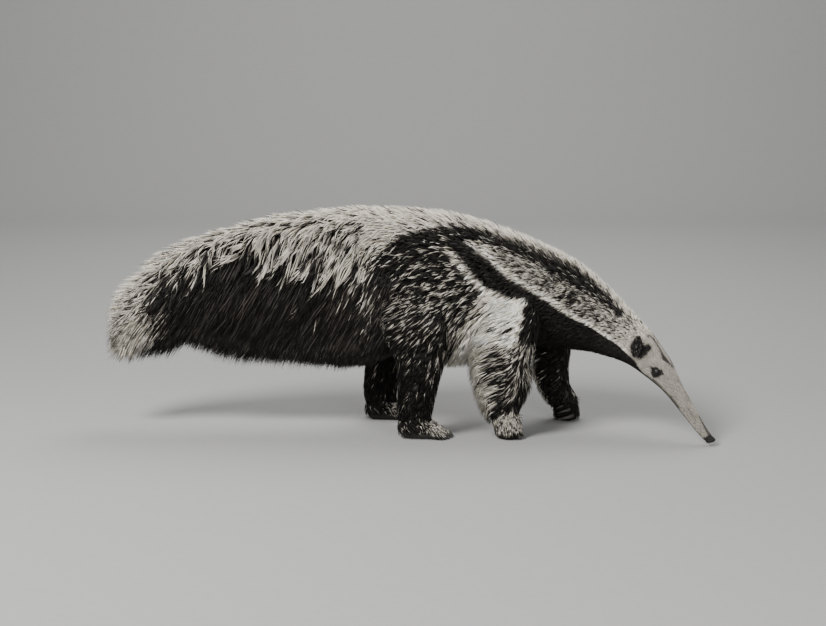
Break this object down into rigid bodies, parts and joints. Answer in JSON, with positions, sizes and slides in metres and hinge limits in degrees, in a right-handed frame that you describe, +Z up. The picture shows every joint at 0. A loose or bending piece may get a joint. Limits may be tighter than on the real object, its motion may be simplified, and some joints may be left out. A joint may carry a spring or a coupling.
{
  "type": "giant anteater",
  "caption": "Giant anteater walking with its long snout lowered to the ground and its plumed tail held out behind. A still model at life size.",
  "frame": {"origin": "on the floor, under the middle of the whole animal's bounding box", "axes": "+X forwards from the tail to the snout, +Y to the animal's left, +Z up"},
  "size_m": [1.801, 0.3926, 0.6737],
  "materials": {
    "grey_coat": "coarse hair, matt",
    "dark_coat": "long coarse hair, matt",
    "short_coat": "short flat hair, matt",
    "ear_skin": "thin skin with short hair, matt",
    "eye_gloss": "wet, glossy",
    "claw_horn": "horn, satin"
  },
  "bodies": {
    "root": {"ear_left": "ear_skin", "ear_right": "ear_skin", "eye_left": "eye_gloss", "eye_right": "eye_gloss", "foreclaw_1_left": "claw_horn", "foreclaw_1_right": "claw_horn", "foreclaw_2_left": "claw_horn", "foreclaw_2_right": "claw_horn", "foreclaw_3_left": "claw_horn", "foreclaw_3_right": "claw_horn", "foreclaw_4_left": "claw_horn", "foreclaw_4_right": "claw_horn", "forefoot_left": "dark_coat", "forefoot_right": "dark_coat", "foreleg_left": "grey_coat", "foreleg_right": "grey_coat", "head": "short_coat", "hindclaw_1_left": "claw_horn", "hindclaw_1_right": "claw_horn", "hindclaw_2_left": "claw_horn", "hindclaw_2_right": "claw_horn", "hindclaw_3_left": "claw_horn", "hindclaw_3_right": "claw_horn", "hindclaw_4_left": "claw_horn", "hindclaw_4_right": "claw_horn", "hindclaw_5_left": "claw_horn", "hindclaw_5_right": "claw_horn", "hindfoot_left": "dark_coat", "hindfoot_right": "dark_coat", "hindleg_left": "grey_coat", "hindleg_right": "grey_coat", "neck": "grey_coat", "tail": "dark_coat", "torso": "grey_coat"}
  },
  "joints": []
}
